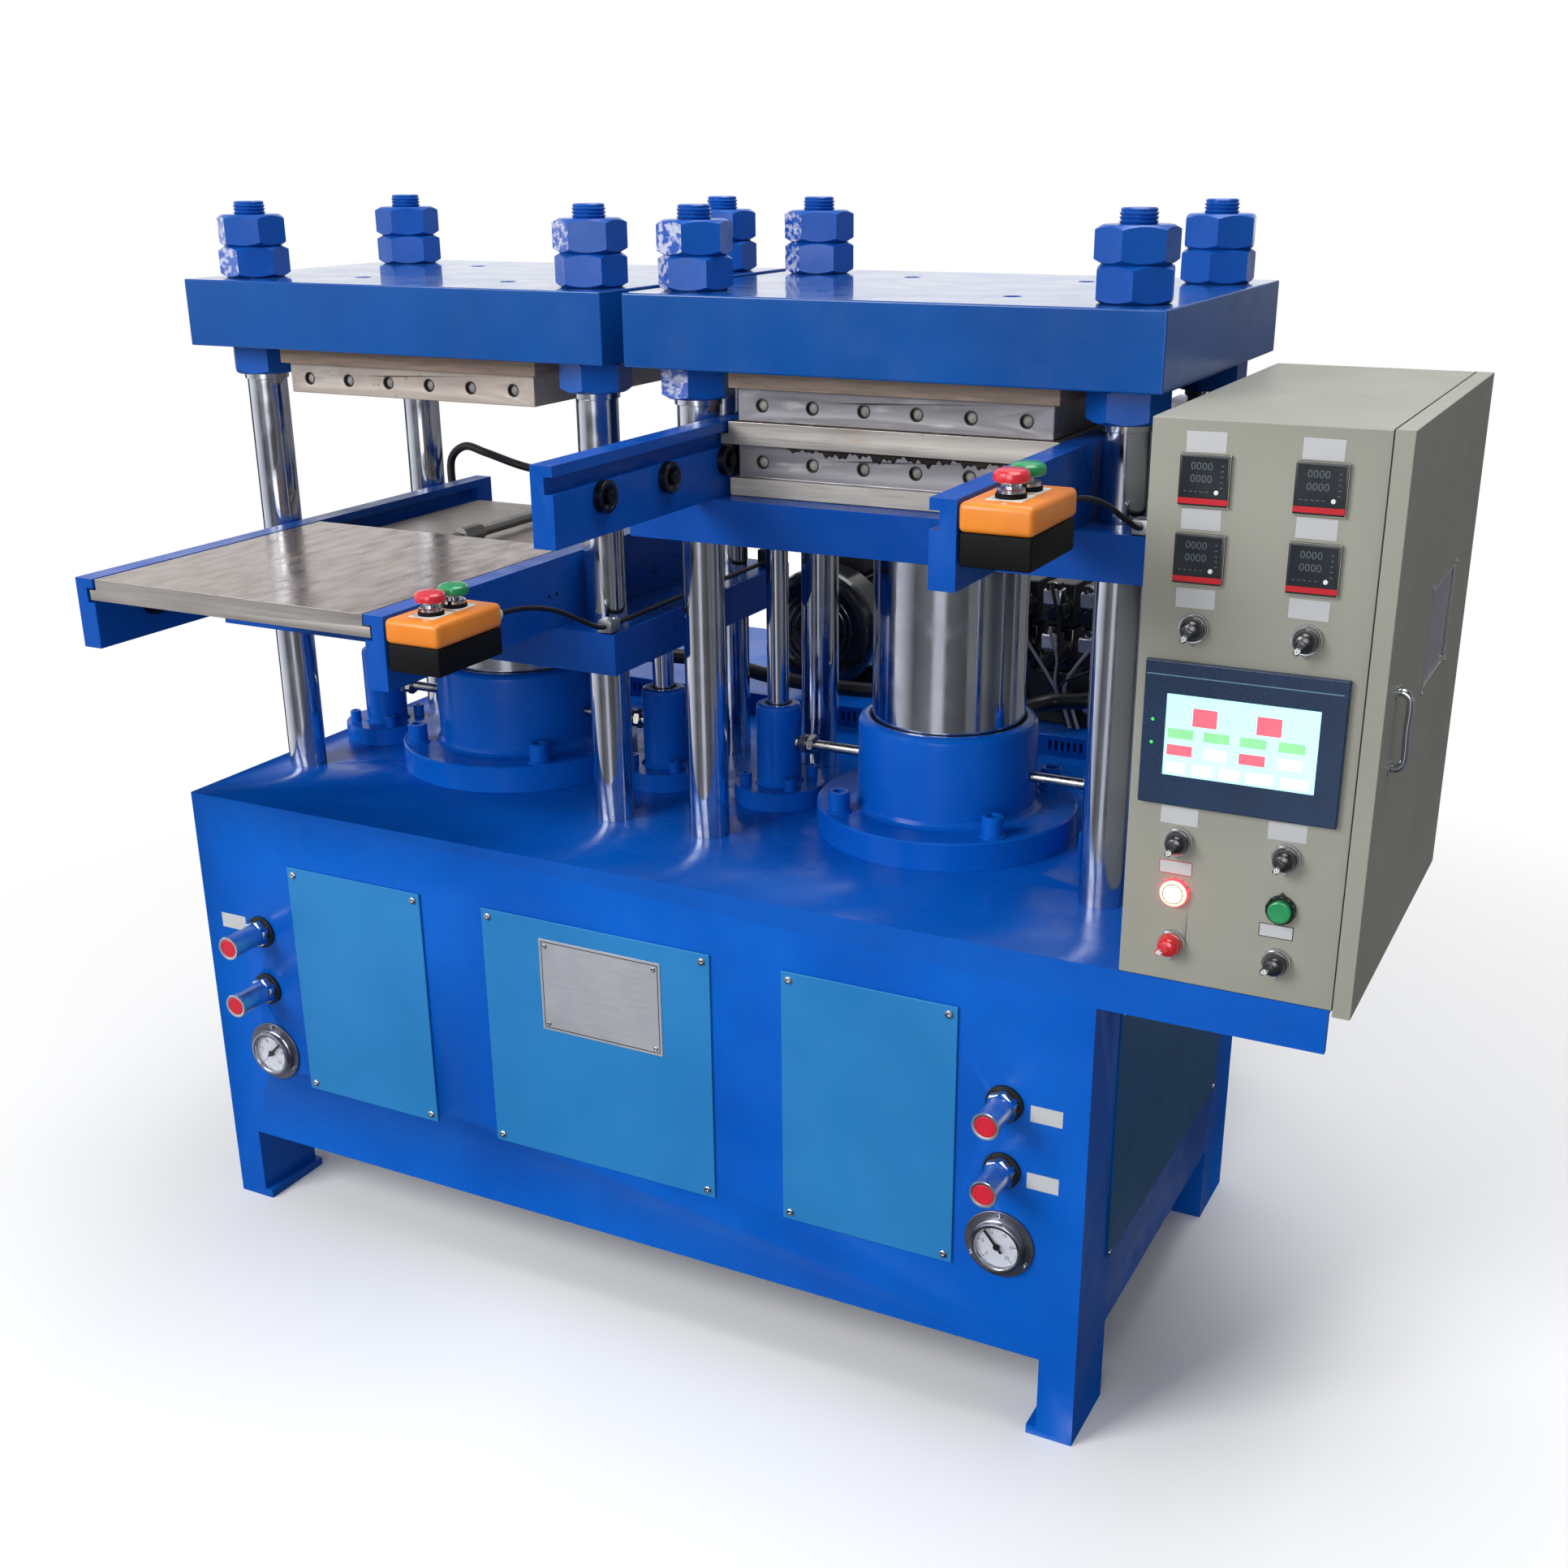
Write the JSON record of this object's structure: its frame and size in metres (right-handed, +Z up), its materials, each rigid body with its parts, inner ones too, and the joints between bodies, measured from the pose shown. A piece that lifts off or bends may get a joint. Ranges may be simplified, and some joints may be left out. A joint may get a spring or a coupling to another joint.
{
  "type": "rubber vulcanizing press",
  "caption": "Twin-station four-post hydraulic press with heating plates, sliding mould plates, rear power pack and a control cabinet at its right end.",
  "frame": {"origin": "centre of the footprint of the whole press, on the floor", "axes": "+X to the operator's right, +Y away from the operator, +Z up"},
  "size_m": [1.54, 1.221, 1.3483],
  "materials": {
    "blue_paint": "gloss enamel, thicker in the corners",
    "light_blue_paint": "satin enamel",
    "chrome": "hard chrome, ground and polished",
    "ground_steel": "surface ground, with light staining",
    "mould_steel": "surface ground and wiped with oil",
    "beige_paint": "fine textured powder coat",
    "machine_black": "satin machine enamel",
    "gauge_steel": "black gloss enamel",
    "needle_black": "matt black",
    "black_plastic": "moulded, fine grain",
    "screen_plastic": "smooth blue-grey moulding",
    "orange_plastic": "moulded, fine grain",
    "red_plastic": "smooth moulding",
    "green_plastic": "smooth moulding"
  },
  "bodies": {
    "frame": {"base_frame": "blue_paint", "oil_tank": "blue_paint", "left_front_cover": "light_blue_paint", "centre_front_cover": "light_blue_paint", "right_front_cover": "light_blue_paint", "left_crown_plate": "blue_paint", "left_main_cylinder": "blue_paint", "left_station_left_booster_cylinder": "blue_paint", "left_station_right_booster_cylinder": "blue_paint", "left_station_front_left_tie_rod": "chrome", "left_station_front_right_tie_rod": "chrome", "left_station_back_left_tie_rod": "chrome", "left_station_back_right_tie_rod": "chrome", "left_upper_heating_plate": "ground_steel", "left_pressure_gauge": "gauge_steel", "right_crown_plate": "blue_paint", "right_main_cylinder": "blue_paint", "right_station_left_booster_cylinder": "blue_paint", "right_station_right_booster_cylinder": "blue_paint", "right_station_front_left_tie_rod": "chrome", "right_station_front_right_tie_rod": "chrome", "right_station_back_left_tie_rod": "chrome", "right_station_back_right_tie_rod": "chrome", "right_upper_heating_plate": "ground_steel", "right_pressure_gauge": "gauge_steel", "control_cabinet": "beige_paint", "touch_screen": "screen_plastic", "hydraulic_power_unit": "machine_black"},
    "left_table_assembly": {"left_table": "blue_paint", "left_ram": "chrome", "left_lower_heating_plate": "ground_steel", "left_station_left_guide_rail": "blue_paint", "left_station_right_guide_rail": "blue_paint", "left_control_box": "orange_plastic"},
    "left_mould": {"left_mould_plate": "mould_steel"},
    "left_red_button_head": {"left_red_button": "red_plastic"},
    "left_green_button_head": {"left_green_button": "green_plastic"},
    "left_upper_regulator": {"left_upper_regulator_knob": "chrome"},
    "left_lower_regulator": {"left_lower_regulator_knob": "chrome"},
    "left_needle": {"left_gauge_needle": "needle_black"},
    "right_table_assembly": {"right_table": "blue_paint", "right_ram": "chrome", "right_lower_heating_plate": "ground_steel", "right_station_left_guide_rail": "blue_paint", "right_station_right_guide_rail": "blue_paint", "right_control_box": "orange_plastic"},
    "right_mould": {"right_mould_plate": "mould_steel"},
    "right_red_button_head": {"right_red_button": "red_plastic"},
    "right_green_button_head": {"right_green_button": "green_plastic"},
    "right_upper_regulator": {"right_upper_regulator_knob": "chrome"},
    "right_lower_regulator": {"right_lower_regulator_knob": "chrome"},
    "right_needle": {"right_gauge_needle": "needle_black"},
    "door": {"cabinet_door": "beige_paint"},
    "green_push_button": {"cabinet_green_push_button": "green_plastic"},
    "upper_left_selector": {"cabinet_upper_left_selector": "black_plastic"},
    "upper_right_selector": {"cabinet_upper_right_selector": "black_plastic"},
    "middle_left_selector": {"cabinet_middle_left_selector": "black_plastic"},
    "middle_right_selector": {"cabinet_middle_right_selector": "black_plastic"},
    "red_selector": {"cabinet_red_selector": "red_plastic"},
    "lower_right_selector": {"cabinet_lower_right_selector": "black_plastic"}
  },
  "joints": [
    {"name": "left_table_lift", "type": "slide", "parent": "frame", "child": "left_table_assembly", "axis": [0, 0, 1], "range_m": [0, 0.171]},
    {"name": "left_mould_slide", "type": "slide", "parent": "left_table_assembly", "child": "left_mould", "axis": [0, 1, 0], "range_m": [0, 0.342]},
    {"name": "left_red_button_press", "type": "slide", "parent": "left_table_assembly", "child": "left_red_button_head", "axis": [0, 0, -1], "range_m": [0, 0.005], "stiffness_N_per_m": 1000, "springref_m": -0.004},
    {"name": "left_green_button_press", "type": "slide", "parent": "left_table_assembly", "child": "left_green_button_head", "axis": [0, 0, -1], "range_m": [0, 0.005], "stiffness_N_per_m": 1000, "springref_m": -0.004},
    {"name": "right_table_lift", "type": "slide", "parent": "frame", "child": "right_table_assembly", "axis": [0, 0, 1], "range_m": [-0.171, 0]},
    {"name": "right_mould_slide", "type": "slide", "parent": "right_table_assembly", "child": "right_mould", "axis": [0, 1, 0], "range_m": [-0.342, 0]},
    {"name": "right_red_button_press", "type": "slide", "parent": "right_table_assembly", "child": "right_red_button_head", "axis": [0, 0, -1], "range_m": [0, 0.005], "stiffness_N_per_m": 1000, "springref_m": -0.004},
    {"name": "right_green_button_press", "type": "slide", "parent": "right_table_assembly", "child": "right_green_button_head", "axis": [0, 0, -1], "range_m": [0, 0.005], "stiffness_N_per_m": 1000, "springref_m": -0.004},
    {"name": "left_upper_regulator_turn", "type": "hinge", "parent": "frame", "child": "left_upper_regulator", "pos_m": [-0.673, -0.3995, 0.426], "axis": [0, 1, 0], "range_deg": [-360, 360]},
    {"name": "left_lower_regulator_turn", "type": "hinge", "parent": "frame", "child": "left_lower_regulator", "pos_m": [-0.673, -0.3995, 0.342], "axis": [0, 1, 0], "range_deg": [-360, 360]},
    {"name": "left_needle_turn", "type": "hinge", "parent": "frame", "child": "left_needle", "pos_m": [-0.673, -0.4105, 0.247], "axis": [0, 1, 0], "range_deg": [-180, 90]},
    {"name": "right_upper_regulator_turn", "type": "hinge", "parent": "frame", "child": "right_upper_regulator", "pos_m": [0.393, -0.3995, 0.426], "axis": [0, 1, 0], "range_deg": [-360, 360]},
    {"name": "right_lower_regulator_turn", "type": "hinge", "parent": "frame", "child": "right_lower_regulator", "pos_m": [0.393, -0.3995, 0.342], "axis": [0, 1, 0], "range_deg": [-360, 360]},
    {"name": "right_needle_turn", "type": "hinge", "parent": "frame", "child": "right_needle", "pos_m": [0.393, -0.4105, 0.247], "axis": [0, 1, 0], "range_deg": [-95, 175]},
    {"name": "door_hinge", "type": "hinge", "parent": "frame", "child": "door", "pos_m": [0.7373, 0.0885, 0.89], "axis": [0, 0, 1], "range_deg": [0, 110]},
    {"name": "upper_left_selector_turn", "type": "hinge", "parent": "frame", "child": "upper_left_selector", "pos_m": [0.564, -0.3995, 0.978], "axis": [0, 1, 0], "range_deg": [0, 90]},
    {"name": "upper_right_selector_turn", "type": "hinge", "parent": "frame", "child": "upper_right_selector", "pos_m": [0.67, -0.3995, 0.978], "axis": [0, 1, 0], "range_deg": [0, 90]},
    {"name": "middle_left_selector_turn", "type": "hinge", "parent": "frame", "child": "middle_left_selector", "pos_m": [0.564, -0.3995, 0.762], "axis": [0, 1, 0], "range_deg": [0, 90]},
    {"name": "middle_right_selector_turn", "type": "hinge", "parent": "frame", "child": "middle_right_selector", "pos_m": [0.67, -0.3995, 0.762], "axis": [0, 1, 0], "range_deg": [0, 90]},
    {"name": "red_selector_turn", "type": "hinge", "parent": "frame", "child": "red_selector", "pos_m": [0.564, -0.3995, 0.652], "axis": [0, 1, 0], "range_deg": [0, 90]},
    {"name": "lower_right_selector_turn", "type": "hinge", "parent": "frame", "child": "lower_right_selector", "pos_m": [0.67, -0.3995, 0.652], "axis": [0, 1, 0], "range_deg": [0, 90]},
    {"name": "green_push_button_press", "type": "slide", "parent": "frame", "child": "green_push_button", "axis": [0, 1, 0], "range_m": [0, 0.004], "stiffness_N_per_m": 1000, "springref_m": -0.004}
  ]
}
